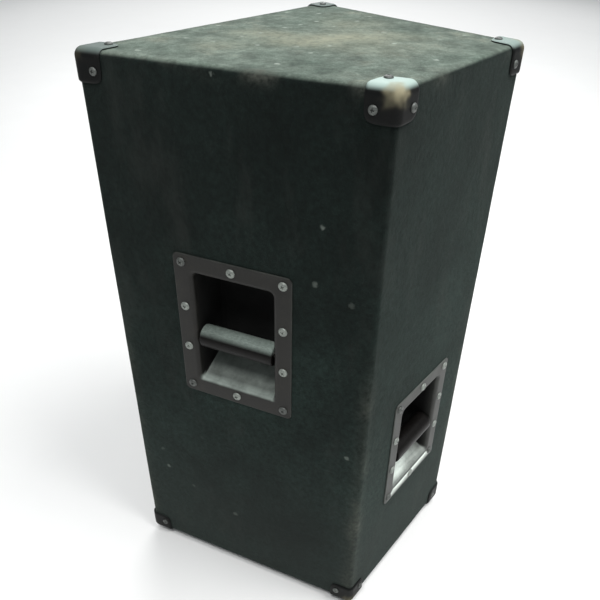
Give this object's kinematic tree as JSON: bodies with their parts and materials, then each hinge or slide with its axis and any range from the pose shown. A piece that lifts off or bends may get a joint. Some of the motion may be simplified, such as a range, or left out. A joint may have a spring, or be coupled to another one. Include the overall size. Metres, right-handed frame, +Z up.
{
  "type": "pa speaker cabinet",
  "caption": "Carpeted plywood PA loudspeaker box, trapezoidal in plan, with recessed bar handles, corner guards, a grille, a woofer, a horn and its crossover.",
  "frame": {"origin": "on the floor under the feet, at the middle of the cabinet's width and depth", "axes": "+Z up, -Y out of the front grille, +Y out of the narrow back panel, +X to the right of someone who faces the grille"},
  "size_m": [0.4572, 0.3634, 0.7924],
  "materials": {
    "carpet": "rough needle-felt carpet, worn and dusty",
    "plywood": "raw birch plywood",
    "black_paint": "matt black",
    "grille_paint": "black powder coat on perforated steel",
    "foam": "open-cell acoustic foam",
    "handle_steel": "worn black paint on pressed steel",
    "bright_steel": "zinc plated",
    "grip": "smooth, polished by use",
    "corner_guard": "moulded, scuffed at the corner",
    "foot_rubber": "moulded",
    "cone_paper": "pressed paper pulp",
    "suspension_cloth": "treated cloth",
    "ferrite": "sintered ferrite",
    "copper_wire": "enamelled copper windings",
    "moulding": "moulded",
    "circuit_board": "glass-epoxy board",
    "capacitor_sleeve": "shrink sleeve",
    "lead_sleeve": "soft sleeve",
    "wadding": "polyester wadding"
  },
  "bodies": {
    "cabinet": {"back_panel": "plywood", "baffle_battens": "plywood", "bottom_panel": "plywood", "carpet_cover": "carpet", "crossover_board": "circuit_board", "damping_wadding": "wadding", "driver_inductor": "copper_wire", "driver_lead": "lead_sleeve", "driver_motor": "black_paint", "driver_rear_cap": "moulding", "filter_capacitor": "capacitor_sleeve", "foot_front_left": "foot_rubber", "foot_front_right": "foot_rubber", "foot_rear_left": "foot_rubber", "foot_rear_right": "foot_rubber", "front_baffle": "black_paint", "grille": "grille_paint", "grille_foam": "foam", "guard_bottom_front_left": "corner_guard", "guard_bottom_front_right": "corner_guard", "guard_bottom_rear_left": "corner_guard", "guard_bottom_rear_right": "corner_guard", "guard_top_front_left": "corner_guard", "guard_top_front_right": "corner_guard", "guard_top_rear_left": "corner_guard", "guard_top_rear_right": "corner_guard", "horn_flare": "moulding", "input_lead": "lead_sleeve", "input_plate": "handle_steel", "jack_socket": "bright_steel", "left_handle_dish": "handle_steel", "left_handle_rod": "bright_steel", "left_side_panel": "plywood", "port_tube_left": "moulding", "port_tube_right": "moulding", "rear_handle_dish": "handle_steel", "rear_handle_rod": "bright_steel", "right_handle_dish": "handle_steel", "right_handle_rod": "bright_steel", "right_side_panel": "plywood", "side_brace": "plywood", "speaker_socket": "moulding", "top_panel": "plywood", "woofer_back_plate": "bright_steel", "woofer_basket": "black_paint", "woofer_front_plate": "bright_steel", "woofer_gasket": "foam", "woofer_inductor": "copper_wire", "woofer_lead": "lead_sleeve", "woofer_magnet": "ferrite", "woofer_spider": "suspension_cloth", "woofer_surround": "suspension_cloth"},
    "woofer_motion": {"woofer_cone": "cone_paper", "woofer_dust_cap": "cone_paper", "woofer_voice_coil": "copper_wire"},
    "diaphragm": {"driver_diaphragm": "bright_steel"},
    "right_grip": {"right_handle_grip": "grip"},
    "left_grip": {"left_handle_grip": "grip"},
    "rear_grip": {"rear_handle_grip": "grip"}
  },
  "joints": [
    {"name": "woofer_excursion", "type": "slide", "parent": "cabinet", "child": "woofer_motion", "axis": [0, -1, 0], "range_m": [-0.006, 0.006], "stiffness_N_per_m": 4000, "deforming": ["woofer_surround", "woofer_spider"]},
    {"name": "diaphragm_excursion", "type": "slide", "parent": "cabinet", "child": "diaphragm", "axis": [0, -1, 0], "range_m": [-0.0004, 0.0004], "stiffness_N_per_m": 12000},
    {"name": "right_grip_turn", "type": "hinge", "parent": "cabinet", "child": "right_grip", "pos_m": [0.17287, -0.00292, 0.447], "axis": [-0.2334, 0.9724, 0], "continuous": true},
    {"name": "left_grip_turn", "type": "hinge", "parent": "cabinet", "child": "left_grip", "pos_m": [-0.17287, -0.00292, 0.447], "axis": [0.2334, 0.9724, 0], "continuous": true},
    {"name": "rear_grip_turn", "type": "hinge", "parent": "cabinet", "child": "rear_grip", "pos_m": [-0.005, 0.1665, 0.2525], "axis": [1, 0, 0], "continuous": true}
  ]
}
